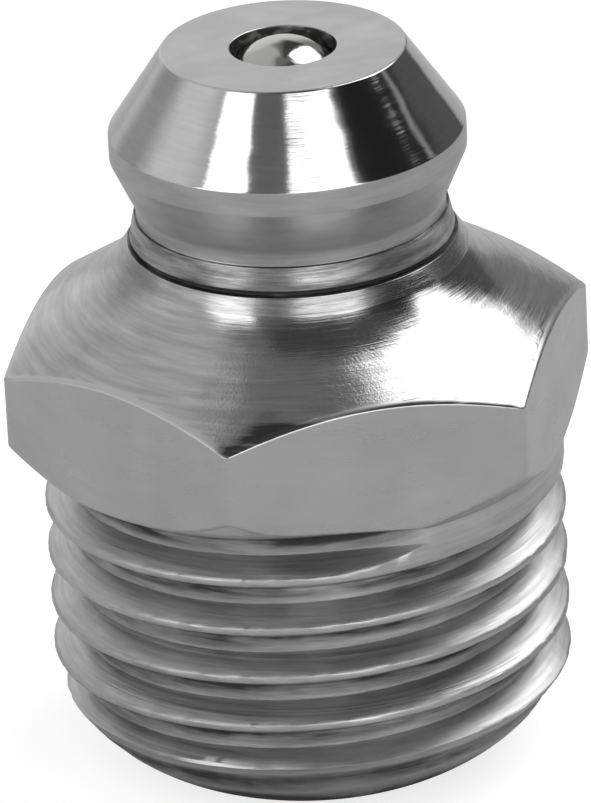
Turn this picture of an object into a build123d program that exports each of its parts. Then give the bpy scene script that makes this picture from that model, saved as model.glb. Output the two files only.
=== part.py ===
from build123d import *
import math
import os

# Straight grease nipple with an M10 x 1 thread, standing on its threaded end.
# Millimetres. The origin is the centre of the end face, and +Z runs along the
# axis towards the head. Two of the six flats face -Y and +Y.

# Shank and thread
THREAD_MAJOR_D = 9.92         # crests of an M10 thread, at the middle of its tolerance
THREAD_PITCH = 1.0
THREAD_FLANK_ANGLE = 60.0     # included angle of the V
THREAD_DEPTH = 0.61           # crest to root, along the radius
SHANK_LENGTH = 6.22           # end face to the foot of the hexagon
END_FACE_D = 6.05             # flat ring that the nipple stands on
END_ROUND_HEIGHT = 1.75       # height of the rounded lead of the thread
END_ROUND_SAG = 0.25          # how far the lead bulges out of its straight chord
PULL_OUT_TO_FOOT = 0.22       # last full groove up to the foot of the hexagon
PULL_OUT_ANGLE = -105.0       # direction from the axis where the tool left, from +X

# Hexagon and shoulder
HEX_ACROSS_FLATS = 10.0
HEX_CHAMFER_ANGLE = 45.0      # of the corners' lower chamfer, from the axis
HEX_CORNER_HEIGHT = 1.35      # straight part of each corner
SHOULDER_ANGLE = 32.0         # slope of the shoulder above the corners, from level
SHOULDER_BEND_D = 8.2         # where the slope begins to curve up
SHOULDER_HEIGHT = 1.77        # top of the corners to the foot of the root rings

# Root rings, two turned steps between the shoulder and the neck
LOWER_RING_D = 6.62           # at its foot
LOWER_RING_TOP_D = 6.24
LOWER_RING_HEIGHT = 0.30
UPPER_RING_D = 6.14           # at its foot
UPPER_RING_TOP_D = 5.94
UPPER_RING_HEIGHT = 0.54
RING_LINE_DEPTH = 0.05        # fine turned line at the foot of the upper ring
RING_LINE_WIDTH = 0.06

# Neck and head
NECK_D = 5.84                 # the waist behind which a coupler's jaws close
NECK_LENGTH = 0.205          # foot of the neck to where it starts to widen
NECK_ROUND = 0.6              # hollow round at that place
NECK_CONE_ANGLE = 24.0        # slope of the widening part up to the head, from the axis
HEAD_D = 6.72                 # land of the head
HEAD_LAND_HEIGHT = 0.46
HEAD_CONE_HEIGHT = 1.57       # land to the top face
HEAD_TOP_D = 4.60             # flat face that the grease gun seals on
LAND_EDGE_ROUND = 0.08        # round on the land's two edges
TOP_EDGE_ROUND = 0.06         # round on the rim of the top face

# Grease way
INLET_D = 2.0                 # hole in the top face
INLET_LAND = 0.33             # straight length of that hole
SEAT_ANGLE = 50.0             # included angle of the ball's seat
CHAMBER_D = 3.10              # bore that holds the ball and its spring
OUTLET_D = 2.10               # hole inside the staked lip
LIP_THICKNESS = 0.55          # staked lip that holds the spring in

# Check ball
BALL_D = 2.38
SEAT_CLEARANCE = 0.015        # ball to seat, square to the seat

# Ball spring
SPRING_WIRE_D = 0.40
SPRING_SIDE_CLEARANCE = 0.10  # coil to chamber wall
SPRING_END_CLEARANCE = 0.015  # coil to ball, and coil to lip
SPRING_ACTIVE_COILS = 8
SPRING_CLOSED_COILS = 1       # dead coils at each end
CLOSED_COIL_GAP = 0.02        # free space between a dead coil and the next one

thread_radius = THREAD_MAJOR_D / 2
root_radius = thread_radius - THREAD_DEPTH
last_groove_height = SHANK_LENGTH - PULL_OUT_TO_FOOT
corner_radius = HEX_ACROSS_FLATS / 2 / math.cos(math.radians(30))
chamfer_height = (corner_radius - thread_radius) / math.tan(math.radians(HEX_CHAMFER_ANGLE))
corner_foot = SHANK_LENGTH + chamfer_height
corner_top = corner_foot + HEX_CORNER_HEIGHT
bend_radius = SHOULDER_BEND_D / 2
slope_height = (corner_radius - bend_radius) * math.tan(math.radians(SHOULDER_ANGLE))
ring_foot = corner_top + SHOULDER_HEIGHT
upper_ring_foot = ring_foot + LOWER_RING_HEIGHT
neck_foot = upper_ring_foot + UPPER_RING_HEIGHT
neck_top = neck_foot + NECK_LENGTH
neck_cone_height = (HEAD_D - NECK_D) / 2 / math.tan(math.radians(NECK_CONE_ANGLE))
land_foot = neck_top + neck_cone_height
land_top = land_foot + HEAD_LAND_HEIGHT
total_height = land_top + HEAD_CONE_HEIGHT

chamber_radius = CHAMBER_D / 2
inlet_radius = INLET_D / 2
seat_half_angle = math.radians(SEAT_ANGLE / 2)
seat_top = total_height - INLET_LAND
seat_foot = seat_top - (chamber_radius - inlet_radius) / math.tan(seat_half_angle)

ball_radius = BALL_D / 2
seat_cone_tip = seat_top + inlet_radius / math.tan(seat_half_angle)
ball_height = seat_cone_tip - (ball_radius + SEAT_CLEARANCE) / math.sin(seat_half_angle)

wire_radius = SPRING_WIRE_D / 2
coil_radius = chamber_radius - SPRING_SIDE_CLEARANCE - wire_radius
nest = ball_radius + wire_radius + SPRING_END_CLEARANCE
spring_top = ball_height - math.sqrt(nest ** 2 - coil_radius ** 2)
spring_foot = LIP_THICKNESS + SPRING_END_CLEARANCE + wire_radius


def outer_section():
    """Half section of the turned blank, without the grease way."""
    end_radius = END_FACE_D / 2
    neck_radius = NECK_D / 2
    land_radius = HEAD_D / 2
    top_radius = HEAD_TOP_D / 2
    lower_ring = LOWER_RING_D / 2
    upper_ring = UPPER_RING_D / 2
    line_floor = upper_ring - RING_LINE_DEPTH
    line_top = upper_ring_foot + RING_LINE_WIDTH
    shoulder_bend = (bend_radius, corner_top + slope_height)
    slope = math.radians(SHOULDER_ANGLE)
    with BuildSketch(Plane.XZ) as section:
        with BuildLine():
            Line((0, 0), (end_radius, 0))
            SagittaArc((end_radius, 0), (thread_radius, END_ROUND_HEIGHT), -END_ROUND_SAG)
            Polyline(
                (thread_radius, END_ROUND_HEIGHT),
                (thread_radius, SHANK_LENGTH),
                (corner_radius, corner_foot),
                (corner_radius, corner_top),
                shoulder_bend,
            )
            TangentArc(shoulder_bend, (lower_ring, ring_foot), tangent=(-math.cos(slope), math.sin(slope)))
            Polyline(
                (lower_ring, ring_foot),
                (LOWER_RING_TOP_D / 2, upper_ring_foot),
                (line_floor, upper_ring_foot),
                (line_floor, line_top),
                (upper_ring, line_top),
                (UPPER_RING_TOP_D / 2, neck_foot),
                (neck_radius, neck_foot),
                (neck_radius, neck_top),
            )
            Polyline(
                (neck_radius, neck_top),
                (land_radius, land_foot),
                (land_radius, land_top),
                (top_radius, total_height),
                (0, total_height),
                (0, 0),
            )
        make_face()
        waist = [v for v in section.vertices() if math.isclose(v.X, neck_radius) and v.Y > neck_foot]
        fillet(waist, NECK_ROUND)
        land_edges = [v for v in section.vertices() if math.isclose(v.X, land_radius)]
        fillet(land_edges, LAND_EDGE_ROUND)
        rim = [v for v in section.vertices() if math.isclose(v.X, top_radius)]
        fillet(rim, TOP_EDGE_ROUND)
    return section.sketch


def grease_way_section():
    """Half section of the inlet, the ball's seat, the chamber and the outlet."""
    below = -1.0
    above = total_height + 1.0
    outlet_radius = OUTLET_D / 2
    with BuildSketch(Plane.XZ) as section:
        with BuildLine():
            Polyline(
                (0, below),
                (outlet_radius, below),
                (outlet_radius, LIP_THICKNESS),
                (chamber_radius, LIP_THICKNESS),
                (chamber_radius, seat_foot),
                (inlet_radius, seat_top),
                (inlet_radius, above),
                (0, above),
                close=True,
            )
        make_face()
    return section.sketch


def hexagon_waste():
    """What the six flats take off the turned collar."""
    with BuildPart() as waste:
        with BuildSketch(Plane.XY.offset(SHANK_LENGTH)):
            Circle(corner_radius + 1)
            RegularPolygon(HEX_ACROSS_FLATS / 2, 6, major_radius=False, mode=Mode.SUBTRACT)
        extrude(amount=ring_foot - SHANK_LENGTH)
    return waste.part


def groove_profile(path, place):
    """The thread's V, square to the path at a place along it and open past the corners."""
    half_tan = math.tan(math.radians(THREAD_FLANK_ANGLE / 2))
    crest_flat = THREAD_PITCH / 8
    root_half = (THREAD_PITCH - crest_flat) / 2 - THREAD_DEPTH * half_tan
    reach = corner_radius - root_radius
    mouth_half = root_half + reach * half_tan
    origin = path @ place
    outwards = Vector(origin.X, origin.Y, 0).normalized()
    with BuildSketch(Plane(origin=origin, x_dir=outwards, z_dir=path % place)) as profile:
        with BuildLine():
            Polyline((0, -root_half), (reach, -mouth_half), (reach, mouth_half), (0, root_half), close=True)
        make_face()
    return profile.sketch


def last_half_turn():
    """Centre line of the groove's last half turn, up to where the tool left."""
    rise = THREAD_PITCH / 2
    path = Helix(pitch=THREAD_PITCH, height=rise, radius=root_radius)
    return Pos(0, 0, last_groove_height - rise) * Rot(0, 0, PULL_OUT_ANGLE - 180) * path


def make_body():
    """One turned piece: head, neck, root rings, hexagon, thread and grease way."""
    blank = revolve(outer_section(), axis=Axis.Z)
    blank -= hexagon_waste()
    blank -= revolve(grease_way_section(), axis=Axis.Z)
    path = last_half_turn()
    half_turn = sweep(groove_profile(path, 0), path=path, is_frenet=True)
    for half_turns_down in range(math.ceil(2 * last_groove_height / THREAD_PITCH)):
        place = Pos(0, 0, -half_turns_down * THREAD_PITCH / 2) * Rot(0, 0, 180 * half_turns_down)
        blank -= place * half_turn
    run_out = extrude(groove_profile(path, 1), amount=thread_radius, dir=path % 1)
    return blank - run_out


def make_check_ball():
    """The hardened ball that closes the inlet from below."""
    return Pos(0, 0, ball_height) * Sphere(ball_radius)


def spring_coils(foot, rise, coils):
    """Centre line of some of the spring's coils, rising evenly from a height."""
    return Pos(0, 0, foot) * Helix(pitch=rise / coils, height=rise, radius=coil_radius)


def make_ball_spring():
    """The compression spring between the lip and the ball, its end coils closed up."""
    closed_rise = SPRING_CLOSED_COILS * (SPRING_WIRE_D + CLOSED_COIL_GAP)
    live_rise = spring_top - spring_foot - 2 * closed_rise
    centre_line = Wire([
        spring_coils(spring_foot, closed_rise, SPRING_CLOSED_COILS),
        spring_coils(spring_foot + closed_rise, live_rise, SPRING_ACTIVE_COILS),
        spring_coils(spring_top - closed_rise, closed_rise, SPRING_CLOSED_COILS),
    ])
    with BuildSketch(Plane(origin=centre_line @ 0, z_dir=centre_line % 0)) as wire:
        Circle(wire_radius)
    return sweep(wire.sketch, path=centre_line, is_frenet=True)


MAKERS = {
    "body": make_body,
    "check_ball": make_check_ball,
    "ball_spring": make_ball_spring,
}

if __name__ == "__main__":
    os.makedirs("parts", exist_ok=True)
    for node, make in MAKERS.items():
        export_step(make(), f"parts/{node}.step")
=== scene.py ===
"""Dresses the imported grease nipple: plated body, check ball, ball spring, floor, lamps and camera.

Shapes are worked out in millimetres and handed to Blender in metres.
"""

from __future__ import annotations

import logging
import math
from dataclasses import dataclass, field
from enum import Enum

import bpy
import numpy as np
from mathutils import Matrix, Vector

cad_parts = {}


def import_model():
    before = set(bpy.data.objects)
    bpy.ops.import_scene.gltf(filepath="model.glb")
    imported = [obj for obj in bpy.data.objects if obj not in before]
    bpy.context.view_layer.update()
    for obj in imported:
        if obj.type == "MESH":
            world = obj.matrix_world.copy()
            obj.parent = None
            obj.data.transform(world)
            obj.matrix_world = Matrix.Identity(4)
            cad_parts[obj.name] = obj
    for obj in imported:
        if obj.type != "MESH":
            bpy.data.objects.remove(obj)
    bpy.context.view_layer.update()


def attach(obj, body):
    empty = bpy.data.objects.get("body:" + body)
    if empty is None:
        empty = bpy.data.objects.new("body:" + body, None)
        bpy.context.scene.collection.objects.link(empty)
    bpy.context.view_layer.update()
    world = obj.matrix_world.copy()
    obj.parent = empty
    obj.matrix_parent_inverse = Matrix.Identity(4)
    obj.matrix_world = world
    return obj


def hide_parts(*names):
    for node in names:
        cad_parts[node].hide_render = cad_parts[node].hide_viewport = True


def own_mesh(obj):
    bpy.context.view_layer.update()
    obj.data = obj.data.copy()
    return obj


LOG = logging.getLogger("grease_nipple")
METRES = 0.001
MICROMETRE = 0.000001
TURN = 2 * math.pi
SIXTH = math.radians(60)
HALF_SIXTH = math.radians(30)
ARC_POINTS = 6
NOISE_LOW, NOISE_HIGH = 0.3, 0.7
# Near black that the grime and painted shade mix into the metal's colour.
GRIME_AND_SHADE_COLOUR = (0.02, 0.02, 0.019, 1.0)


class Body(Enum):
    """The rigid bodies of the nipple."""

    NIPPLE = "nipple"
    BALL = "ball"


class Slot(Enum):
    """The record's material slots."""

    PLATED = "plated_steel"
    BALL = "ball_steel"
    SPRING = "spring_steel"


class SocketKind(Enum):
    """The kinds of sockets that the finishes' node groups have."""

    NUMBER = "NodeSocketFloat"
    COLOUR = "NodeSocketColor"


def coat_grid(rough: object, marks: object, grime_and_shade: object, frost: object) -> np.ndarray:
    """Puts the four channels of the coat together, each a number or an array.

    Args:
        rough: Roughness of the metal.
        marks: Share of the tool marks.
        grime_and_shade: Share of the grime and painted shade.
        frost: Share of the frosted grain.

    Returns:
        The coat, with the channels last.
    """
    return np.stack(np.broadcast_arrays(rough, marks, grime_and_shade, frost), -1)


def soft_min(first: np.ndarray, second: np.ndarray, blend: float) -> np.ndarray:
    """The smaller of two radii, with the crossing rounded.

    The smaller value loses (blend - difference)^2 / (4 blend) where the two
    differ by less than blend.

    Args:
        first: One set of radii.
        second: The other set.
        blend: Difference in millimetres inside which the crossing is rounded.

    Returns:
        The rounded minimum.
    """
    near = np.maximum(blend - np.abs(first - second), 0.0)
    return np.minimum(first, second) - near**2 / (4 * blend)


def waves(position: np.ndarray, counts: np.ndarray, seed: int) -> np.ndarray:
    """An uneven line that repeats every turn, between about -1 and 1.

    It is the sum of one cosine for each count, each at a phase of its own,
    divided by the square root of how many there are.

    Args:
        position: Angles in radians.
        counts: Whole numbers of waves in a turn.
        seed: Seed of the phases.

    Returns:
        The height of the line at each angle.
    """
    phases = np.random.default_rng(seed).uniform(0, TURN, len(counts))
    return np.cos(position[..., None] * counts + phases).sum(-1) / math.sqrt(len(counts))


def rounded_profile(
    corners: np.ndarray, rounds: np.ndarray, spacing: float
) -> tuple[np.ndarray, np.ndarray]:
    """A line through corners in (radius, height), each corner rounded.

    Every inner corner p becomes an arc that touches both of its sides. Its
    centre lies r / sin(half) from p on the line that halves the corner, and its
    points follow from swinging one radius to the other. Straight stretches get
    a point close to each end of an arc, and more of them at the spacing.

    Args:
        corners: The corners, n x 2, in millimetres.
        rounds: The radius of the arc at each corner; the two ends aren't rounded.
        spacing: Distance between points on straight stretches.

    Returns:
        The points of the line, m x 2, and the number of the side that each one is on.
    """
    inner = corners[1:-1]
    back = corners[:-2] - inner
    ahead = corners[2:] - inner
    back /= np.linalg.norm(back, axis=1, keepdims=True)
    ahead /= np.linalg.norm(ahead, axis=1, keepdims=True)
    half = np.arccos(np.clip((back * ahead).sum(1), -1, 1))[:, None] / 2
    radius = rounds[1:-1, None]
    reach = radius / np.tan(half)
    middle = back + ahead
    middle /= np.linalg.norm(middle, axis=1, keepdims=True)
    centre = inner + middle * radius / np.sin(half)
    swing = (math.pi - 2 * half)[:, None]
    share = np.linspace(0, 1, ARC_POINTS)[None, :, None]
    first = (inner + back * reach - centre)[:, None]
    last = (inner + ahead * reach - centre)[:, None]
    swung = np.sin((1 - share) * swing) * first + np.sin(share * swing) * last
    arcs = centre[:, None] + swung / np.sin(swing)
    line = np.vstack([corners[:1], arcs.reshape(-1, 2), corners[-1:]])
    run = np.concatenate([[0], np.cumsum(np.linalg.norm(np.diff(line, axis=0), axis=1))])
    last_point = len(run) - 1
    ends = run[np.r_[0, 1:last_point:ARC_POINTS, ARC_POINTS:last_point:ARC_POINTS, last_point]]
    close = 0.012
    near = np.clip(np.concatenate([ends - close, ends + close]), 0, run[-1])
    even = np.arange(0, run[-1], spacing)
    stops = np.unique(np.round(np.concatenate([run[:-1], near, even]), 5))
    stops[-1] = run[-1]
    bends = (run[3:last_point:ARC_POINTS] + run[4:last_point:ARC_POINTS]) / 2
    points = np.column_stack([np.interp(stops, run, line[:, 0]), np.interp(stops, run, line[:, 1])])
    return points, np.searchsorted(bends, stops)


class SurfaceMesh:
    """Gathers grids of points that close around the axis, and makes one mesh of them."""

    def __init__(self) -> None:
        """Starts with no grid."""
        self.points: list[np.ndarray] = []
        self.coats: list[np.ndarray] = []
        self.quads: list[np.ndarray] = []
        self.size = 0

    def add_grid(self, points: np.ndarray, coat: np.ndarray, seam_shift: int = 0) -> None:
        """Adds rows of points, each joined to the next row and to its neighbours.

        Args:
            points: rows x columns x 3, in millimetres.
            coat: Roughness, tool marks, grime and painted shade, and frost at the points; the shape is rows
                x columns x 4, or one that spreads to it.
            seam_shift: How many rows higher the first column meets the last one.
        """
        rows, columns = points.shape[:2]
        row, column = np.meshgrid(np.arange(rows - 1), np.arange(columns), indexing="ij")
        shift = np.where(column == columns - 1, seam_shift, 0)
        right = (column + 1) % columns
        low = np.minimum(row + shift, rows - 1)
        high = np.minimum(row + 1 + shift, rows - 1)
        here, above = row * columns + column, (row + 1) * columns + column
        quads = np.stack([here, low * columns + right, high * columns + right, above], -1)
        self.quads.append(quads.reshape(-1, 4) + self.size)
        self.points.append(points.reshape(-1, 3))
        self.coats.append(np.broadcast_to(coat, (rows, columns, 4)).reshape(-1, 4))
        self.size += rows * columns

    def add_fan(self, ring: np.ndarray, tip: np.ndarray, coat: np.ndarray) -> None:
        """Closes a ring of points with triangles to one tip, in the ring's own order.

        Args:
            ring: The ring's points, n x 3, in millimetres.
            tip: The point that every triangle meets.
            coat: The coat of them all.
        """
        count = len(ring)
        here = np.arange(count)
        quads = np.column_stack([here, (here + 1) % count, np.full(count, count), np.full(count, count)])
        self.quads.append(quads + self.size)
        self.points.append(np.vstack([ring, tip[None]]))
        self.coats.append(np.broadcast_to(coat, (count + 1, 4)))
        self.size += count + 1

    def make(self, name: str, sharp_degrees: float) -> bpy.types.Object:
        """Merges equal points, drops flattened faces and puts the rest into a mesh.

        A quad with two corners on one point becomes a triangle, and one with
        more is dropped.

        Args:
            name: Name of the new object.
            sharp_degrees: Edges with more turn than this aren't shaded smooth.

        Returns:
            The new object, at the origin.
        """
        points = np.round(np.vstack(self.points), 6)
        kept, first, where = np.unique(points, axis=0, return_index=True, return_inverse=True)
        quads = where.reshape(-1)[np.vstack(self.quads)]
        same = quads == np.roll(quads, -1, axis=1)
        whole = quads[~same.any(1)]
        whole = whole[(whole[:, 0] != whole[:, 2]) & (whole[:, 1] != whole[:, 3])]
        folded = quads[same.sum(1) == 1]
        double = same[same.sum(1) == 1].argmax(1)
        order = (double[:, None] + 1 + np.arange(3)) % 4
        triangles = np.take_along_axis(folded, order, axis=1)
        corners = np.concatenate([whole.reshape(-1), triangles.reshape(-1)])
        counts = np.concatenate([np.full(len(whole), 4), np.full(len(triangles), 3)])
        starts = np.concatenate([[0], np.cumsum(counts)[:-1]])
        mesh = bpy.data.meshes.new(name)
        mesh.vertices.add(len(kept))
        mesh.vertices.foreach_set("co", (kept * METRES).astype(np.float32).reshape(-1))
        mesh.loops.add(len(corners))
        mesh.loops.foreach_set("vertex_index", corners.astype(np.int32))
        mesh.polygons.add(len(counts))
        mesh.polygons.foreach_set("loop_start", starts.astype(np.int32))
        coat = mesh.attributes.new("coat", "FLOAT_COLOR", "POINT")
        coat.data.foreach_set("color", np.vstack(self.coats)[first].astype(np.float32).reshape(-1))
        mesh.update(calc_edges=True)
        mesh.validate()
        mesh.shade_smooth()
        mesh.set_sharp_from_angle(angle=math.radians(sharp_degrees))
        piece = bpy.data.objects.new(name, mesh)
        bpy.context.scene.collection.objects.link(piece)
        LOG.info("%s: %d faces", name, len(mesh.polygons))
        return piece


@dataclass(frozen=True)
class GreaseWay:
    """The inlet, the ball's seat, the chamber and the outlet, in millimetres."""

    inlet_r: float = 1.0
    inlet_land: float = 0.33
    seat_half_angle: float = math.radians(25)
    chamber_r: float = 1.55
    outlet_r: float = 1.05
    lip_thickness: float = 0.55

    def ball_height(self, top: float, ball_r: float, clearance: float) -> float:
        """Height of the ball's centre when it rests on the seat below a top face."""
        tip = top - self.inlet_land + self.inlet_r / math.tan(self.seat_half_angle)
        return tip - (ball_r + clearance) / math.sin(self.seat_half_angle)


@dataclass(frozen=True)
class NippleBody:
    """The turned body: head, neck, root rings, shoulder, hexagon and thread, in millimetres."""

    crest_r: float = 4.96
    pitch: float = 1.0
    flank: float = math.radians(30)
    thread_depth: float = 0.50
    turns_down: int = 8
    shank_length: float = 6.22
    end_face_r: float = 3.025
    lead_height: float = 1.75
    lead_sag: float = 0.25
    pull_out_to_foot: float = 0.22
    pull_out_angle: float = math.radians(-105)
    flat_r: float = 5.0
    corner_height: float = 1.35
    shoulder_slope: float = math.radians(32)
    bend_r: float = 4.1
    shoulder_height: float = 1.77
    lower_ring_r: float = 3.31
    lower_ring_top_r: float = 3.12
    lower_ring_height: float = 0.30
    upper_ring_r: float = 3.07
    upper_ring_top_r: float = 2.97
    upper_ring_height: float = 0.54
    ring_line_depth: float = 0.07
    ring_line_width: float = 0.09
    neck_r: float = 2.92
    neck_length: float = 0.205
    neck_round: float = 0.6
    neck_slope: float = math.radians(24)
    land_r: float = 3.36
    land_height: float = 0.46
    cone_height: float = 1.57
    top_r: float = 2.30
    corner_round: float = 0.10
    edge_round: float = 0.06
    groove_round: float = 0.04
    pull_out_round: float = 0.05
    crest_wear: float = 0.012
    worn_from: float = 0.8
    column_step: float = 1.5
    shade_corner: float = 240.0
    shade_length: float = 60.0
    shade_height: float = 0.34
    shade_line: float = 0.05
    way: GreaseWay = field(default_factory=GreaseWay)

    @property
    def root_r(self) -> float:
        """Radius of the thread's root."""
        return self.crest_r - self.thread_depth

    @property
    def root_half(self) -> float:
        """Half the width of the flat at the thread's root."""
        return self.pitch * 7 / 16 - self.thread_depth * math.tan(self.flank)

    @property
    def corner_r(self) -> float:
        """Radius of the hexagon's corners."""
        return self.flat_r / math.cos(HALF_SIXTH)

    @property
    def corner_foot(self) -> float:
        """Height where the corners' lower 45 degree chamfer ends."""
        return self.shank_length + self.corner_r - self.crest_r

    @property
    def corner_top(self) -> float:
        """Height where the shoulder begins."""
        return self.corner_foot + self.corner_height

    @property
    def ring_foot(self) -> float:
        """Height of the foot of the root rings."""
        return self.corner_top + self.shoulder_height

    @property
    def top(self) -> float:
        """Height of the top face."""
        rings = self.lower_ring_height + self.upper_ring_height
        neck_top = self.ring_foot + rings + self.neck_length
        flare = (self.land_r - self.neck_r) / math.tan(self.neck_slope)
        return neck_top + flare + self.land_height + self.cone_height

    def columns(self) -> np.ndarray:
        """Angles of the grid's columns, closer together at the six corners.

        Returns:
            The angles in radians, from 0 to a whole turn.
        """
        even = np.arange(0, 360, self.column_step)
        beside = np.array([-0.6, -0.36, -0.2, -0.08, 0.08, 0.2, 0.36, 0.6])
        near = np.arange(0, 360, 60)[:, None] + beside
        return np.radians(np.unique(np.mod(np.concatenate([even, near.ravel()]), 360)))

    def flats(self, angle: np.ndarray) -> np.ndarray:
        """Radius of the hexagon: flat distance over the cosine, with the corners rounded.

        Args:
            angle: Angles in radians.

        Returns:
            The radius at each angle.
        """
        off = np.mod(angle, SIXTH) - HALF_SIXTH
        near = self.flat_r / np.cos(off)
        other = self.flat_r / np.cos(SIXTH - np.abs(off))
        return soft_min(near, other, self.corner_round)

    def turned(self, height: np.ndarray) -> np.ndarray:
        """Radius of the turned blank up to the root rings.

        It is the lead's arc, the crest cylinder, the 45 degree chamfer, the
        corners' cylinder, the shoulder's cone and the hollow arc above it. An
        arc's radius is its centre's plus or minus the root of r^2 - dz^2.

        Args:
            height: Heights in millimetres.

        Returns:
            The radius at each height.
        """
        rise, run = self.lead_height, self.crest_r - self.end_face_r
        chord = math.hypot(rise, run)
        lead_r = (chord**2 / 4 + self.lead_sag**2) / (2 * self.lead_sag)
        inset = (lead_r - self.lead_sag) / chord
        lead_x = self.end_face_r + run / 2 - rise * inset
        lead_z = rise / 2 + run * inset
        lead = lead_x + np.sqrt(np.maximum(lead_r**2 - (height - lead_z) ** 2, 0))
        bend_height = self.corner_top + (self.corner_r - self.bend_r) * math.tan(self.shoulder_slope)
        d_r, d_z = self.lower_ring_r - self.bend_r, self.ring_foot - bend_height
        sin_s, cos_s = math.sin(self.shoulder_slope), math.cos(self.shoulder_slope)
        hollow_r = (d_r**2 + d_z**2) / (2 * (d_r * sin_s + d_z * cos_s))
        hollow_x, hollow_z = self.bend_r + hollow_r * sin_s, bend_height + hollow_r * cos_s
        hollow = hollow_x - np.sqrt(np.maximum(hollow_r**2 - (height - hollow_z) ** 2, 0))
        slope = self.corner_r - (height - self.corner_top) / math.tan(self.shoulder_slope)
        shoulder = np.where(height < bend_height, slope, hollow)
        collar = np.where(height < self.corner_top, self.corner_r, shoulder)
        chamfer = self.crest_r + np.maximum(height - self.shank_length, 0)
        shank = np.minimum(lead, self.crest_r)
        return np.where(height < self.lead_height, shank, np.minimum(chamfer, collar))

    def root_line(self, angle: np.ndarray, turn: int) -> tuple[np.ndarray, np.ndarray]:
        """Height and radius of one turn of the groove's root.

        The root climbs one pitch a turn up to the last full place. Past it the
        tool goes straight on, so the radius grows as one over the cosine.

        Args:
            angle: Angles in radians, from 0 to a whole turn.
            turn: 0 for the turn that holds the last full place, less below it.

        Returns:
            The height and the radius of the root at each angle.
        """
        past = angle - (self.pull_out_angle + TURN) + TURN * turn
        height = self.shank_length - self.pull_out_to_foot + self.pitch * past / TURN
        leaving = np.clip(past, 0, SIXTH)
        radius = np.where(past > SIXTH, 2 * self.crest_r, self.root_r / np.cos(leaving))
        return height, radius

    def groove(self, angle: np.ndarray, height: np.ndarray) -> np.ndarray:
        """Radius of the V groove: root radius plus the distance up its flanks.

        Args:
            angle: Angles in radians.
            height: Heights in millimetres, of a shape that spreads with the angles.

        Returns:
            The radius of the nearest turn's groove at each place.
        """
        radius = np.full(np.broadcast(angle, height).shape, 2 * self.crest_r)
        for turn in range(-self.turns_down, 2):
            root_z, root_r = self.root_line(angle, turn)
            beside = np.maximum(np.abs(height - root_z) - self.root_half, 0)
            radius = np.minimum(radius, root_r + beside / math.tan(self.flank))
        return radius

    def thread_rows(self, angle: np.ndarray, limit: np.ndarray) -> tuple[np.ndarray, np.ndarray]:
        """Rows of heights that follow the groove, turn by turn.

        A row keeps its share of the way from the root to the groove's mouth, so the rows close up where the
        last groove runs out. Grime and painted shade are fullest in the root and on the flank above it,
        which faces down, and there is least on the flank below.

        Args:
            angle: Angles of the columns.
            limit: Height where the thread ends at each of them.

        Returns:
            The heights and the grime, rows x columns.
        """
        half = np.array([1.12, 1.0, 0.9, 0.7, 0.4, 0.12, 0.0])
        share = np.concatenate([half, half[::-1]])[None, :, None]
        side = np.repeat([-1, 1], len(half))[None, :, None]
        # These lists darken the root and the down-facing flank above it: grime and painted shade in the
        # groove.
        below = [0.15, 0.25, 0.1, 0, 0, 0, 0.25]
        above = [0.9, 1, 0.9, 0.7, 0.45, 0.1, 0.05]
        soil_and_shade = np.array(below + above)[None, :, None]
        turns = np.arange(-self.turns_down, 3)[:, None, None]
        past = angle - (self.pull_out_angle + TURN) + TURN * turns
        root_r = self.root_r / np.cos(np.clip(past, 0, math.acos(self.root_r / self.crest_r)))
        flank = (self.crest_r - root_r) * math.tan(self.flank)
        offset = self.root_half + np.minimum(share, 1) * flank + np.maximum(share - 1, 0) * 0.7 * flank
        height = self.shank_length - self.pull_out_to_foot + self.pitch * past / TURN + side * offset
        grime_and_shade = soil_and_shade * np.clip(flank / 0.2, 0, 1)
        rows = (-1, len(angle))
        return np.clip(height.reshape(rows), 0, limit), grime_and_shade.reshape(rows)

    def thread_top(self, angle: np.ndarray) -> np.ndarray:
        """Height where the thread ends at each angle.

        It is the foot of the hexagon, or higher up where the last turn's upper
        flank cuts the chamfer or a flat: the highest sampled place at which the
        groove is deeper than the hexagon.

        Args:
            angle: Angles of the columns.

        Returns:
            The height at each of them.
        """
        heights = np.linspace(self.shank_length, self.corner_foot + 0.6, 400)[:, None]
        outside = soft_min(self.turned(heights), self.flats(angle)[None], self.pull_out_round)
        cut = self.groove(angle[None], heights) < outside
        highest = len(heights) - 1 - np.argmax(cut[::-1], axis=0)
        return np.where(cut.any(0), heights[highest, 0], self.shank_length)

    def outside(self, angle: np.ndarray, height: np.ndarray) -> np.ndarray:
        """Radius of the shank, hexagon and shoulder, with worn edges.

        It is the rounded minimum of the turned blank, the flats above the foot of
        the hexagon, and the groove. Crests are a little uneven.

        Args:
            angle: Angles in radians.
            height: Heights in millimetres, of a shape that spreads with the angles.

        Returns:
            The radius at each place.
        """
        blank = self.turned(height)
        collar = soft_min(blank, self.flats(angle), self.edge_round)
        radius = np.where(height > self.shank_length + 1e-9, collar, blank)
        radius = soft_min(radius, self.groove(angle, height), self.groove_round)
        on_crest = (height > self.worn_from) & (height < self.shank_length)
        wear_counts = np.array([5, 9, 14, 23, 37, 61])
        uneven = self.crest_wear * waves(angle + 0.9 * height, wear_counts, seed=3)
        return radius - np.where(on_crest, np.abs(uneven), 0)

    def edge_painted_shade(self, angle: np.ndarray, above: np.ndarray) -> np.ndarray:
        """Painted shade along the shoulder's edge beside one corner.

        Its height is a bell curve beside the corner on top of a thin line, and
        it fades to nothing at that height. The line ends at the next corner.

        Args:
            angle: Angles of the columns.
            above: Height of each place above the edge, rows x columns.

        Returns:
            The painted shade to add, rows x columns.
        """
        past = np.degrees(angle) - self.shade_corner
        along = np.clip((past + 3) / 3, 0, 1) * np.clip((self.shade_length + 1 - past) / 3, 0, 1)
        reach = self.shade_line + self.shade_height * np.exp(-(((past - 5) / 7) ** 2))
        return 1.1 * along * np.clip(1.4 * (1 - above / reach), 0, 1)

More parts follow.
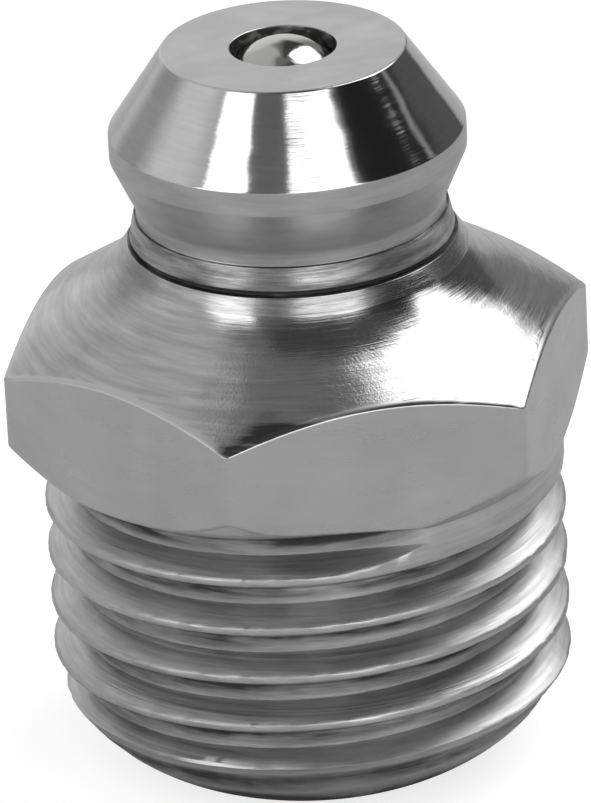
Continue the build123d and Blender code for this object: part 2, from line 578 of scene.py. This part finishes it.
    def upper_profile(self) -> tuple[np.ndarray, np.ndarray]:
        """Half section from the root rings over the head and down the grease way to the end face.

        Returns:
            The points in (radius, height), and the coat of each.
        """
        way, top = self.way, self.top
        ring_2 = self.ring_foot + self.lower_ring_height
        neck = ring_2 + self.upper_ring_height
        neck_top = neck + self.neck_length
        land_top = top - self.cone_height
        floor_r = self.upper_ring_r - self.ring_line_depth
        seat_foot = top - way.inlet_land - (way.chamber_r - way.inlet_r) / math.tan(way.seat_half_angle)
        line_top = ring_2 + self.ring_line_width
        # Each line: radius, height, rounding; then roughness, marks, grime and painted shade, and frost.
        # The rings' groove and steps and the inlet's wall get the most: painted shade in those hollows.
        table = np.array(
            [
                (self.lower_ring_r, self.ring_foot, 0.03, 0.15, 1.4, 0.40, 0.2),
                (self.lower_ring_top_r, ring_2, 0.03, 0.30, 0.5, 1.0, 0.0),
                (floor_r, ring_2, 0.015, 0.40, 0.5, 1.4, 0.0),
                (floor_r, line_top, 0.01, 0.30, 0.5, 1.2, 0.0),
                (self.upper_ring_r, line_top, 0.02, 0.17, 2.2, 0.65, 0.0),
                (self.upper_ring_top_r, neck, 0.03, 0.35, 1.0, 1.2, 0.0),
                (self.neck_r, neck, 0.015, 0.34, 1.0, 0.30, 0.3),
                (self.neck_r, neck_top, self.neck_round * 0.98, 0.36, 0.8, 0.12, 0.3),
                (self.land_r, land_top - self.land_height, 0.06, 0.30, 0.7, 0.20, 0.3),
                (self.land_r, land_top, 0.07, 0.09, 0.45, 0.03, 0.15),
                (self.top_r, top, 0.05, 0.27, 0.05, 0.0, 0.1),
                (way.inlet_r, top, 0.03, 0.35, 0.5, 1.1, 0.5),
                (way.inlet_r, top - way.inlet_land, 0.02, 0.40, 0.5, 1.2, 0.5),
                (way.chamber_r, seat_foot, 0.02, 0.35, 0.5, 0.3, 0.0),
                (way.chamber_r, way.lip_thickness, 0.02, 0.35, 0.5, 0.3, 0.0),
                (way.outlet_r, way.lip_thickness, 0.02, 0.35, 0.5, 0.3, 0.0),
                (way.outlet_r, 0.0, 0.04, 0.30, 0.5, 0.5, 0.2),
                (self.end_face_r, 0.0, 0.0, 0.30, 0.5, 0.5, 0.2),
            ]
        )
        points, side = rounded_profile(table[:, :2], table[:, 2], spacing=1.0)
        return points, table[side, 3:]

    def build(self) -> bpy.types.Object:
        """Makes the body from four grids that share their columns.

        They are the thread, the hexagon's flats, the shoulder, and everything
        from the root rings over the head and down the inside.

        Returns:
            The body's object.
        """
        angle = self.columns()
        circle = np.stack([np.cos(angle), np.sin(angle)], -1)
        surface = SurfaceMesh()
        limit = self.thread_top(angle)
        height, grime_and_shade = self.thread_rows(angle, limit)
        rows_per_turn = len(height) // (self.turns_down + 3)
        # Painted shade: the lead darkens towards its foot, in place of the floor's shadow that it would
        # mirror.
        painted_foot_shade = np.clip(1.35 - height / 0.6, 0, 1)
        grime_and_shade = np.maximum(np.where(height < 0.3, 0, grime_and_shade), 2.2 * painted_foot_shade) + 0.05
        coat = coat_grid(0.39, 1.4, grime_and_shade, 0.6)
        surface.add_grid(self.around(circle, angle, height), coat, seam_shift=rows_per_turn)

        flats = self.flats(angle)
        low = self.shank_length + flats - self.crest_r
        high = self.corner_top + (self.corner_r - flats) * math.tan(self.shoulder_slope)
        shares = np.linspace(0.15, 0.85, 6)[:, None]
        middle = low + 0.1 + (high - low - 0.24) * shares
        # Rows close to an edge, above and below it, and rows above the thread's end.
        ends = np.array([-0.08, -0.05, -0.03, -0.015, 0.0, 0.015, 0.03, 0.05, 0.08])[:, None]
        lift = np.array([0.0, 0.012, 0.03, 0.06])[:, None]
        face = np.vstack([limit + lift, low + ends, middle, high - 0.02 + ends])
        heights = np.maximum.accumulate(np.maximum(face, limit), axis=0)
        # Painted shade along the shoulder's edge beside one corner, on the flats' top rows.
        edge_shade = self.edge_painted_shade(angle, np.maximum(heights - high, 0))
        soil_and_shade = 0.05 + np.where(heights > high - 0.02, edge_shade, 0)
        surface.add_grid(self.around(circle, angle, heights), coat_grid(0.26, 0.03, soil_and_shade, 0.1))

        circles = np.linspace(self.corner_top, self.ring_foot, 28)[:, None] + 0 * angle
        upper = np.maximum(circles, heights[-1])
        upper[0] = heights[-1]
        frost = np.clip((self.ring_foot - upper) / 0.7, 0.2, 1.0)
        # The shoulder gets an even share of grime, plus painted shade along its edge beside one corner.
        soil_and_shade = 0.26 + self.edge_painted_shade(angle, upper - high)
        coat = coat_grid(0.10 + 0.02 * frost, 0.95, soil_and_shade, 1.15 * frost)
        surface.add_grid(self.around(circle, angle, upper), coat)

        profile, coats = self.upper_profile()
        radius = np.broadcast_to(profile[:, None, :1], (len(profile), len(angle), 1))
        level = np.broadcast_to(profile[:, None, 1:], radius.shape)
        surface.add_grid(np.concatenate([circle[None] * radius, level], -1), coats[:, None])
        return surface.make("nipple_body", sharp_degrees=32)

    def dress(self, shell: bpy.types.Object, effects: MetalEffects) -> None:
        """Plates the body and ties it to the frame.

        Args:
            shell: The body's object.
            effects: The node groups that the finishes share.
        """
        finish = PlatedFinish("bright_zinc", (0.52, 0.52, 0.52))
        shell.data.materials.append(finish.material(effects))
        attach(shell, Body.NIPPLE.value)
        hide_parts("body")

    def around(self, circle: np.ndarray, angle: np.ndarray, height: np.ndarray) -> np.ndarray:
        """Points of the outside at rows of heights, one height for each column."""
        radius = self.outside(angle[None], height)
        return np.concatenate([circle[None] * radius[..., None], height[..., None]], -1)


@dataclass(frozen=True)
class CheckBall:
    """The polished ball below the inlet, in millimetres."""

    radius: float = 1.19
    seat_clearance: float = 0.015

    def build(self, centre_height: float) -> bpy.types.Object:
        """Makes a closed ball: circles of latitude, with a fan at each pole.

        Args:
            centre_height: Height of the ball's centre.

        Returns:
            The ball's object.
        """
        latitude = np.radians(np.linspace(-88, 88, 60))[:, None]
        angle = np.radians(np.arange(0, 360, 3.0))[None]
        level = np.cos(latitude)
        sides = (level * np.cos(angle), level * np.sin(angle), np.sin(latitude))
        points = self.radius * np.stack(np.broadcast_arrays(*sides), -1)
        points[..., 2] += centre_height
        coat = coat_grid(0.13, 0.0, 0.0, 0.7)
        surface = SurfaceMesh()
        surface.add_grid(points, coat)
        surface.add_fan(points[-1], np.array([0, 0, centre_height + self.radius]), coat)
        surface.add_fan(points[0][::-1], np.array([0, 0, centre_height - self.radius]), coat)
        return surface.make("check_ball_polished", sharp_degrees=60)

    def dress(self, sphere: bpy.types.Object, effects: MetalEffects) -> None:
        """Finishes the ball and ties it to the sliding body.

        Args:
            sphere: The ball's object.
            effects: The node groups that the finishes share.
        """
        finish = PlatedFinish("ball_steel", (0.47, 0.47, 0.46), wave_depth=45.0)
        sphere.data.materials.append(finish.material(effects))
        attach(sphere, Body.BALL.value)
        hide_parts("check_ball")


@dataclass(frozen=True)
class BallSpring:
    """The compression spring under the ball, in millimetres."""

    wire_r: float = 0.20
    coil_r: float = 1.25
    live_coils: int = 8
    closed_coils: int = 1
    closed_pitch: float = 0.42
    end_clearance: float = 0.015
    travel: float = 7.03
    circles_a_coil: int = 40
    sides: int = 16

    def ends(self, lip_thickness: float, ball_centre: float, ball_r: float) -> tuple[float, float]:
        """Heights of the centre line's ends, between the outlet's lip and the ball.

        The top coil touches the ball where the distance from the ball's centre to
        the wire's centre is both radii and the clearance.

        Args:
            lip_thickness: Height of the lip that the spring stands on.
            ball_centre: Height of the ball's centre.
            ball_r: Radius of the ball.

        Returns:
            The lower and the upper height.
        """
        nest = ball_r + self.wire_r + self.end_clearance
        foot = lip_thickness + self.end_clearance + self.wire_r
        return foot, ball_centre - math.sqrt(nest**2 - self.coil_r**2)

    def build(self, foot: float, top: float) -> bpy.types.Object:
        """Makes the wire: a circle carried square to a helix.

        The helix climbs slowly in the closed coils and evenly in the live ones.
        At each point the circle lies in the plane of the outward direction and
        the direction square to both it and the wire. The two ends are closed
        with fans.

        Args:
            foot: Height of the centre line's lower end.
            top: Height of its upper end.

        Returns:
            The spring's object.
        """
        coils = self.live_coils + 2 * self.closed_coils
        coil = np.linspace(0, coils, coils * self.circles_a_coil + 1)
        rise = self.closed_coils * self.closed_pitch
        knots = [0, self.closed_coils, coils - self.closed_coils, coils]
        height = np.interp(coil, knots, [foot, foot + rise, top - rise, top])
        sweep = TURN * coil
        centre = np.column_stack([self.coil_r * np.cos(sweep), self.coil_r * np.sin(sweep), height])
        along = np.gradient(centre, axis=0)
        along /= np.linalg.norm(along, axis=1, keepdims=True)
        outward = centre * [1, 1, 0] / self.coil_r
        across = np.cross(along, outward)
        across /= np.linalg.norm(across, axis=1, keepdims=True)
        turn = np.linspace(0, TURN, self.sides + 1)[:-1]
        turn = turn[None, :, None]
        section = np.cos(turn) * outward[:, None] + np.sin(turn) * across[:, None]
        points = centre[:, None] + self.wire_r * section
        coat = coat_grid(0.3, 0.2, 0.0, 0.2)
        surface = SurfaceMesh()
        surface.add_grid(points, coat)
        surface.add_fan(points[-1], centre[-1], coat)
        surface.add_fan(points[0][::-1], centre[0], coat)
        return surface.make("ball_spring_wire", sharp_degrees=50)

    def dress(self, wire: bpy.types.Object, effects: MetalEffects, foot: float, top: float) -> None:
        """Finishes the wire and ties it to the body.

        Args:
            wire: The spring's object.
            effects: The node groups that the finishes share.
            foot: Not used.
            top: Not used.
        """
        finish = PlatedFinish("spring_wire", (0.6, 0.6, 0.61))
        wire.data.materials.append(finish.material(effects))
        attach(wire, Body.NIPPLE.value)
        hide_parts("ball_spring")
        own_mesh(wire)


class NodeKit:
    """Short ways to place and join shader nodes in one tree."""

    def __init__(self, tree: bpy.types.NodeTree) -> None:
        """Keeps the tree that the nodes go into."""
        self.tree = tree

    def add(self, kind: str, **settings: object) -> bpy.types.Node:
        """Places a node.

        Args:
            kind: Blender's name for the node.
            settings: Its properties.

        Returns:
            The node.
        """
        node = self.tree.nodes.new(kind)
        for name, value in settings.items():
            setattr(node, name, value)
        return node

    def join(self, source: bpy.types.NodeSocket, target: bpy.types.NodeSocket) -> None:
        """Links an output to an input."""
        self.tree.links.new(source, target)

    def math(self, operation: str, *values: object) -> bpy.types.NodeSocket:
        """Places a Math node.

        Args:
            operation: Blender's name for the operation.
            values: A socket, a number, or None for an input that isn't used.

        Returns:
            The node's output.
        """
        node = self.add("ShaderNodeMath", operation=operation)
        for socket, value in zip(node.inputs, values):
            if isinstance(value, bpy.types.NodeSocket):
                self.join(value, socket)
            elif value is not None:
                socket.default_value = value
        return node.outputs[0]

    def effect(self, group: bpy.types.NodeTree, values: dict[str, object]) -> bpy.types.NodeSocket:
        """Places a node group with its own values or links.

        Args:
            group: The node group.
            values: A socket or a value for each of its inputs, by name.

        Returns:
            The group's output.
        """
        node = self.add("ShaderNodeGroup", node_tree=group)
        for name, value in values.items():
            if isinstance(value, bpy.types.NodeSocket):
                self.join(value, node.inputs[name])
            else:
                node.inputs[name].default_value = value
        return node.outputs[0]

    def noise(self, scale: float, detail: float) -> bpy.types.NodeSocket:
        """Places plain noise on the object's own coordinates.

        Args:
            scale: Lumps per metre.
            detail: How many finer layers it has.

        Returns:
            The noise, about 0.5.
        """
        place = self.add("ShaderNodeTexCoord")
        node = self.add("ShaderNodeTexNoise")
        node.inputs["Scale"].default_value = scale
        node.inputs["Detail"].default_value = detail
        self.join(place.outputs["Object"], node.inputs["Vector"])
        return node.outputs["Fac"]

    def spread(self, value: bpy.types.NodeSocket, low: float, high: float) -> bpy.types.NodeSocket:
        """Stretches noise from its usual range to another one.

        Args:
            value: The noise.
            low: The result at NOISE_LOW and below.
            high: The result at NOISE_HIGH and above.

        Returns:
            The stretched noise.
        """
        node = self.add("ShaderNodeMapRange")
        node.inputs["From Min"].default_value = NOISE_LOW
        node.inputs["From Max"].default_value = NOISE_HIGH
        node.inputs["To Min"].default_value = low
        node.inputs["To Max"].default_value = high
        self.join(value, node.inputs["Value"])
        return node.outputs["Result"]


class EffectGroup:
    """A shader node group with named inputs and one output, while it is being built."""

    def __init__(self, name: str, inputs: dict[str, SocketKind], output: str, kind: SocketKind) -> None:
        """Opens the group and makes its sockets.

        Args:
            name: Name of the group.
            inputs: Name and kind of each input.
            output: Name of the output.
            kind: Kind of the output.
        """
        self.tree = bpy.data.node_groups.new(name, "ShaderNodeTree")
        for title, sort in inputs.items():
            self.tree.interface.new_socket(title, in_out="INPUT", socket_type=sort.value)
        self.tree.interface.new_socket(output, in_out="OUTPUT", socket_type=kind.value)
        self.kit = NodeKit(self.tree)
        self.entry = self.kit.add("NodeGroupInput").outputs
        self.leave = self.kit.add("NodeGroupOutput").inputs

    def close(self, value: bpy.types.NodeSocket) -> bpy.types.NodeTree:
        """Sends a value out of the group and returns the finished group."""
        self.kit.join(value, self.leave[0])
        return self.tree


def turning_marks() -> bpy.types.NodeTree:
    """The group that makes the fine rings a lathe tool leaves.

    Its height is noise over the direction from the part's axis, times Shortness,
    and the radius less 1.31 times the height along the axis, times Fineness. So
    it forms rings on flat faces, on cylinders and on most cones.

    Returns:
        The node group: Fineness is rings per metre, Shortness how often a ring breaks.
    """
    inputs = {"Fineness": SocketKind.NUMBER, "Shortness": SocketKind.NUMBER}
    group = EffectGroup("TurningMarks", inputs, "Height", SocketKind.NUMBER)
    kit, entry = group.kit, group.entry
    place = kit.add("ShaderNodeTexCoord")
    split = kit.add("ShaderNodeSeparateXYZ")
    kit.join(place.outputs["Object"], split.inputs[0])
    x, y, z = split.outputs
    squares = kit.math("ADD", kit.math("MULTIPLY", x, x), kit.math("MULTIPLY", y, y))
    radius = kit.math("SQRT", squares, None)
    around = kit.add("ShaderNodeCombineXYZ")
    kit.join(kit.math("MULTIPLY", kit.math("DIVIDE", x, radius), entry["Shortness"]), around.inputs[0])
    kit.join(kit.math("MULTIPLY", kit.math("DIVIDE", y, radius), entry["Shortness"]), around.inputs[1])
    height_share = 1.31
    along = kit.math("SUBTRACT", radius, kit.math("MULTIPLY", z, height_share))
    kit.join(kit.math("MULTIPLY", along, entry["Fineness"]), around.inputs[2])
    noise = kit.add("ShaderNodeTexNoise")
    noise.inputs["Scale"].default_value = 1.0
    noise.inputs["Detail"].default_value = 3.0
    noise.inputs["Roughness"].default_value = 0.6
    kit.join(around.outputs[0], noise.inputs["Vector"])
    return group.close(noise.outputs["Fac"])


def grime_and_shade_mask(marks: bpy.types.NodeTree) -> bpy.types.NodeTree:
    """The group that breaks the grime and painted shade up into smears around the axis.

    Args:
        marks: The turning marks group.

    Returns:
        The node group: Mask is Amount times coarse turning marks, at most 0.92.
    """
    group = EffectGroup("GrimeAndShadeMask", {"Amount": SocketKind.NUMBER}, "Mask", SocketKind.NUMBER)
    kit = group.kit
    smear = kit.effect(marks, {"Fineness": 3200.0, "Shortness": 2.2})
    soil_and_shade = kit.math("MULTIPLY", group.entry["Amount"], kit.spread(smear, 0.3, 1.3))
    most = 0.92
    return group.close(kit.math("MINIMUM", kit.math("MAXIMUM", soil_and_shade, 0.0), most))


def clouded_metal(marks: bpy.types.NodeTree) -> bpy.types.NodeTree:
    """The group that clouds a metal's colour, streaks it and darkens it with grime and painted shade.

    Args:
        marks: The turning marks group.

    Returns:
        The node group: the colour times noise and streaks, mixed to near black by the grime and painted
            shade input.
    """
    inputs = {"Metal": SocketKind.COLOUR, "Marks": SocketKind.NUMBER, "Grime And Shade": SocketKind.NUMBER}
    group = EffectGroup("CloudedMetal", inputs, "Colour", SocketKind.COLOUR)
    kit, entry = group.kit, group.entry
    streak = kit.effect(marks, {"Fineness": 7000.0, "Shortness": 4.0})
    worked = kit.math("MULTIPLY", entry["Marks"], kit.spread(streak, -0.09, 0.09))
    tint = kit.math("ADD", kit.spread(kit.noise(900.0, 4.0), 0.94, 1.05), worked)
    metal = kit.add("ShaderNodeMix", data_type="RGBA", blend_type="MULTIPLY")
    metal.inputs["Factor"].default_value = 1.0
    kit.join(entry["Metal"], metal.inputs["A"])
    kit.join(tint, metal.inputs["B"])
    colour = kit.add("ShaderNodeMix", data_type="RGBA")
    kit.join(entry["Grime And Shade"], colour.inputs["Factor"])
    kit.join(metal.outputs["Result"], colour.inputs["A"])
    # The grime and painted shade mix the colour towards near black.
    colour.inputs["B"].default_value = GRIME_AND_SHADE_COLOUR
    return group.close(colour.outputs["Result"])


def worn_polish(marks: bpy.types.NodeTree) -> bpy.types.NodeTree:
    """The group that makes the roughness uneven along the marks and duller under the grime and painted
    shade.

    Args:
        marks: The turning marks group.

    Returns:
        The node group: Base times 1 plus marked variation, plus a quarter of the grime and painted shade
            input.
    """
    inputs = {"Base": SocketKind.NUMBER, "Marks": SocketKind.NUMBER, "Grime And Shade": SocketKind.NUMBER}
    group = EffectGroup("WornPolish", inputs, "Roughness", SocketKind.NUMBER)
    kit, entry = group.kit, group.entry
    fine = kit.effect(marks, {"Fineness": 26000.0, "Shortness": 0.6})
    worn = kit.math("ADD", kit.math("MULTIPLY", entry["Marks"], kit.spread(fine, -0.15, 0.2)), 1.0)
    least = 0.6
    polish = kit.math("MULTIPLY", entry["Base"], kit.math("MAXIMUM", worn, least))
    dulling = kit.math("MULTIPLY", entry["Grime And Shade"], 0.25)
    return group.close(kit.math("ADD", polish, dulling))


def metal_relief(marks: bpy.types.NodeTree) -> bpy.types.NodeTree:
    """The group that adds up the small heights: fine marks, streaks, frosted grain and waves.

    Args:
        marks: The turning marks group.

    Returns:
        The node group: depths and height are in micrometres.
    """
    names = ("Marks", "Frost", "Marks Depth", "Streak Depth", "Frost Depth", "Wave Depth")
    group = EffectGroup("MetalRelief", dict.fromkeys(names, SocketKind.NUMBER), "Height", SocketKind.NUMBER)
    kit, entry = group.kit, group.entry
    fine = kit.effect(marks, {"Fineness": 26000.0, "Shortness": 0.6})
    streak = kit.effect(marks, {"Fineness": 7000.0, "Shortness": 4.0})
    height = kit.math("MULTIPLY", kit.math("MULTIPLY", fine, entry["Marks Depth"]), entry["Marks"])
    lines = kit.math("MULTIPLY", kit.math("MULTIPLY", streak, entry["Streak Depth"]), entry["Marks"])
    frost = kit.math("MULTIPLY", kit.noise(21000.0, 2.0), entry["Frost Depth"])
    grain = kit.math("MULTIPLY", frost, entry["Frost"])
    wave = kit.math("MULTIPLY", kit.noise(1300.0, 1.0), entry["Wave Depth"])
    tooled = kit.math("ADD", height, lines)
    return group.close(kit.math("ADD", tooled, kit.math("ADD", grain, wave)))


@dataclass(frozen=True)
class MetalEffects:
    """The node groups that every metal finish places with its own values."""

    grime_and_shade: bpy.types.NodeTree
    colour: bpy.types.NodeTree
    polish: bpy.types.NodeTree
    relief: bpy.types.NodeTree

    @classmethod
    def build(cls) -> MetalEffects:
        """Builds each group once; the turning marks sit inside the other four."""
        marks = turning_marks()
        return cls(grime_and_shade_mask(marks), clouded_metal(marks), worn_polish(marks), metal_relief(marks))


@dataclass(frozen=True)
class PlatedFinish:
    """Metal with tool marks, a frosted grain, soft waves, and grime and painted shade in its hollows.

    The piece's coat attribute holds the roughness, and how much of the marks, the grime and painted shade,
    and the frost each place gets. Depths are in micrometres.
    """

    name: str
    colour: tuple[float, float, float]
    marks_depth: float = 2.2
    streak_depth: float = 3.0
    frost_depth: float = 2.2
    wave_depth: float = 12.0

    def material(self, effects: MetalEffects) -> bpy.types.Material:
        """Builds the material.

        Args:
            effects: The node groups that the finishes share.

        Returns:
            The material.
        """
        material = bpy.data.materials.new(self.name)
        material.use_nodes = True
        kit = NodeKit(material.node_tree)
        shader = material.node_tree.nodes["Principled BSDF"]
        shader.inputs["Metallic"].default_value = 1.0
        coat = kit.add("ShaderNodeAttribute", attribute_name="coat")
        split = kit.add("ShaderNodeSeparateXYZ")
        kit.join(coat.outputs["Color"], split.inputs[0])
        rough, marked, soiled_and_shaded = split.outputs

        soil_and_shade = kit.effect(effects.grime_and_shade, {"Amount": soiled_and_shaded})
        metal = (*self.colour, 1.0)
        colour = kit.effect(effects.colour, {"Metal": metal, "Marks": marked, "Grime And Shade": soil_and_shade})
        kit.join(colour, shader.inputs["Base Color"])
        polish = kit.effect(effects.polish, {"Base": rough, "Marks": marked, "Grime And Shade": soil_and_shade})
        kit.join(polish, shader.inputs["Roughness"])
        depths = {
            "Marks Depth": self.marks_depth,
            "Streak Depth": self.streak_depth,
            "Frost Depth": self.frost_depth,
            "Wave Depth": self.wave_depth,
        }
        height = kit.effect(effects.relief, {"Marks": marked, "Frost": coat.outputs["Alpha"], **depths})
        bump = kit.add("ShaderNodeBump")
        bump.inputs["Distance"].default_value = MICROMETRE
        kit.join(height, bump.inputs["Height"])
        kit.join(bump.outputs["Normal"], shader.inputs["Normal"])
        return material


@dataclass(frozen=True)
class Panel:
    """A soft-edged patch of the room, between two azimuths and two elevations in degrees."""

    left: float
    right: float
    low: float
    high: float
    radiance: float
    soft: float = 2.0

    def window(
        self, kit: NodeKit, angle: bpy.types.NodeSocket, low: float, high: float
    ) -> bpy.types.NodeSocket:
        """Makes a mask that is 1 between two angles, with smooth edges.

        Args:
            kit: The world's nodes.
            angle: The direction's angle in radians.
            low: The first of the two angles in degrees.
            high: The second.

        Returns:
            The mask.
        """
        middle = math.radians(low + high) / 2
        half = math.radians(high - low) / 2
        away = kit.math("SUBTRACT", angle, middle)
        away = kit.math("WRAP", away, math.pi, -math.pi)
        away = kit.math("ABSOLUTE", away, None)
        edge = kit.add("ShaderNodeMapRange", interpolation_type="SMOOTHSTEP")
        edge.inputs["From Min"].default_value = half + math.radians(self.soft)
        edge.inputs["From Max"].default_value = half - math.radians(self.soft)
        kit.join(away, edge.inputs["Value"])
        return edge.outputs["Result"]

    def over(
        self,
        kit: NodeKit,
        azimuth: bpy.types.NodeSocket,
        elevation: bpy.types.NodeSocket,
        below: object,
    ) -> bpy.types.NodeSocket:
        """Lays the panel over the radiance so far.

        Args:
            kit: The world's nodes.
            azimuth: Direction's angle around the axis.
            elevation: Direction's angle above level.
            below: Socket or number that the panel covers.

        Returns:
            The new radiance.
        """
        across = self.window(kit, azimuth, self.left, self.right)
        mask = kit.math("MULTIPLY", across, self.window(kit, elevation, self.low, self.high))
        mix = kit.add("ShaderNodeMix", data_type="FLOAT")
        kit.join(mask, mix.inputs["Factor"])
        if isinstance(below, bpy.types.NodeSocket):
            kit.join(below, mix.inputs["A"])
        else:
            mix.inputs["A"].default_value = below
        mix.inputs["B"].default_value = self.radiance
        return mix.outputs["Result"]


@dataclass(frozen=True)
class Studio:
    """Floor, room and camera, in millimetres. A later panel covers an earlier one."""

    room: float = 0.26
    floor_grey: float = 0.60
    floor_seen: float = 0.38
    floor_lift: float = 0.76
    panels: tuple[Panel, ...] = (
        Panel(88, 192, -90, 73, 0.74, 6),
        Panel(118, 146, 0, 22, 0.46, 7),
        Panel(35, 103, -90, 36, 0.95, 7),
        Panel(152, 184, 15, 36, 0.95, 6),
        Panel(-136, -20, 52, 80, 0.08, 5),
        Panel(-62, -12, 45, 82, 0.10, 5),
        Panel(36, 76, 28, 80, 0.07, 5),
        Panel(36, 62, -90, 28, 0.30, 6),
        Panel(-54, 40, -90, 47, 0.022, 3),
        Panel(2, 40, -90, 20, 0.13, 5),
        Panel(-3, 1, 6, 30, 0.45, 1),
        Panel(-12, 46, 30, 72, 3.8, 2),
        Panel(-138, -106, 0, 49, 0.19, 2),
        Panel(-167, -138, 0, 50, 2.8, 1.5),
        Panel(-106, -59, 0, 47, 2.6, 1.5),
    )

    elevation: float = 24.8
    roll: float = -2.9
    side: float = -15.6
    distance: float = 160.0
    pixels_per_mm: float = 52.5
    pivot_x: float = 304.3
    pivot_y: float = 468.0
    pivot_height: float = 5.54
    frame_width: int = 591
    frame_height: int = 803
    sensor_width: float = 36.0
    floor_half: float = 600.0

    def add_camera(self) -> None:
        """Places the camera so that the pivot on the axis lands on its place in the frame."""
        side, lift = math.radians(self.side), math.radians(self.elevation)
        roll = math.radians(self.roll)
        level = math.cos(lift)
        away = np.array([math.sin(side) * level, -math.cos(side) * level, math.sin(lift)])
        right = np.array([math.cos(side), math.sin(side), 0.0])
        up = np.cross(right, -away)
        turned_right = right * math.cos(roll) + up * math.sin(roll)
        turned_up = up * math.cos(roll) - right * math.sin(roll)
        pivot = np.array([0, 0, self.pivot_height])
        place = pivot + self.distance * away
        shift_x = (self.frame_width / 2 - self.pivot_x) / self.pixels_per_mm
        shift_y = (self.pivot_y - self.frame_height / 2) / self.pixels_per_mm
        target = pivot + shift_x * turned_right + shift_y * turned_up
        back = place - target
        back /= np.linalg.norm(back)
        across = turned_right - back * turned_right.dot(back)
        across /= np.linalg.norm(across)
        axes = np.column_stack([across, np.cross(back, across), back])
        data = bpy.data.cameras.new("camera")
        data.sensor_fit = "HORIZONTAL"
        data.sensor_width = self.sensor_width
        data.lens = self.pixels_per_mm * self.distance * self.sensor_width / self.frame_width
        data.clip_start = 0.001
        data.clip_end = 10.0
        camera = bpy.data.objects.new("camera", data)
        turn = Matrix(axes.tolist()).to_4x4()
        camera.matrix_world = Matrix.Translation(Vector(place * METRES)) @ turn
        bpy.context.scene.collection.objects.link(camera)
        bpy.context.scene.camera = camera

    def add_floor(self) -> None:
        """Lays a wide pale floor, lifted to white for the camera, that keeps the shadow."""
        half = self.floor_half * METRES
        corners = [(-half, -half, 0), (half, -half, 0), (half, half, 0), (-half, half, 0)]
        surface = bpy.data.meshes.new("floor")
        surface.from_pydata(corners, [], [(0, 1, 2, 3)])
        floor = bpy.data.objects.new("floor", surface)
        material = bpy.data.materials.new("pale_floor")
        material.use_nodes = True
        kit = NodeKit(material.node_tree)
        shader = material.node_tree.nodes["Principled BSDF"]
        shader.inputs["Roughness"].default_value = 1.0
        shader.inputs["Specular IOR Level"].default_value = 0.0
        path = kit.add("ShaderNodeLightPath")
        paint = kit.add("ShaderNodeMapRange")
        paint.inputs["To Min"].default_value = self.floor_grey
        paint.inputs["To Max"].default_value = self.floor_seen
        kit.join(path.outputs["Is Camera Ray"], paint.inputs["Value"])
        kit.join(paint.outputs["Result"], shader.inputs["Base Color"])
        lift = kit.math("MULTIPLY", path.outputs["Is Camera Ray"], self.floor_lift)
        shader.inputs["Emission Color"].default_value = (1, 1, 1, 1)
        kit.join(lift, shader.inputs["Emission Strength"])
        floor.data.materials.append(material)
        bpy.context.scene.collection.objects.link(floor)

    def add_world(self) -> None:
        """Sets the room: white to the camera, and panels and dark walls for everything else."""
        world = bpy.data.worlds.new("studio")
        bpy.context.scene.world = world
        world.use_nodes = True
        world.cycles.sampling_method = "MANUAL"
        world.cycles.sample_map_resolution = 2048
        kit = NodeKit(world.node_tree)
        background = world.node_tree.nodes["Background"]
        place = kit.add("ShaderNodeTexCoord")
        split = kit.add("ShaderNodeSeparateXYZ")
        kit.join(place.outputs["Generated"], split.inputs[0])
        x, y, z = split.outputs
        azimuth = kit.math("ARCTAN2", y, x)
        elevation = kit.math("ARCSINE", z, None)
        radiance = self.room
        for panel in self.panels:
            radiance = panel.over(kit, azimuth, elevation, radiance)
        path = kit.add("ShaderNodeLightPath")
        seen = kit.math("MAXIMUM", path.outputs["Is Camera Ray"], path.outputs["Is Transmission Ray"])
        choice = kit.add("ShaderNodeMix", data_type="FLOAT")
        choice.inputs["B"].default_value = 1.0
        kit.join(seen, choice.inputs["Factor"])
        kit.join(radiance, choice.inputs["A"])
        background.inputs["Color"].default_value = (1, 1, 1, 1)
        kit.join(choice.outputs["Result"], background.inputs["Strength"])


def main() -> None:
    """Builds and dresses the nipple, then sets up the studio."""
    logging.basicConfig(level=logging.INFO)
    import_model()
    effects = MetalEffects.build()

    body = NippleBody()
    shell = body.build()
    body.dress(shell, effects)
    LOG.info("%s: head, neck, rings, hexagon and thread", shell.name)

    ball = CheckBall()
    centre = body.way.ball_height(body.top, ball.radius, ball.seat_clearance)
    sphere = ball.build(centre)
    ball.dress(sphere, effects)
    LOG.info("%s: centre at %.3f mm", sphere.name, centre)

    spring = BallSpring()
    foot, top = spring.ends(body.way.lip_thickness, centre, ball.radius)
    wire = spring.build(foot, top)
    spring.dress(wire, effects, foot, top)
    LOG.info("%s: from %.3f to %.3f mm", wire.name, foot, top)

    studio = Studio()
    studio.add_floor()
    studio.add_world()
    studio.add_camera()
    bpy.context.scene.view_settings.view_transform = "Standard"


if __name__ == "__main__":
    main()
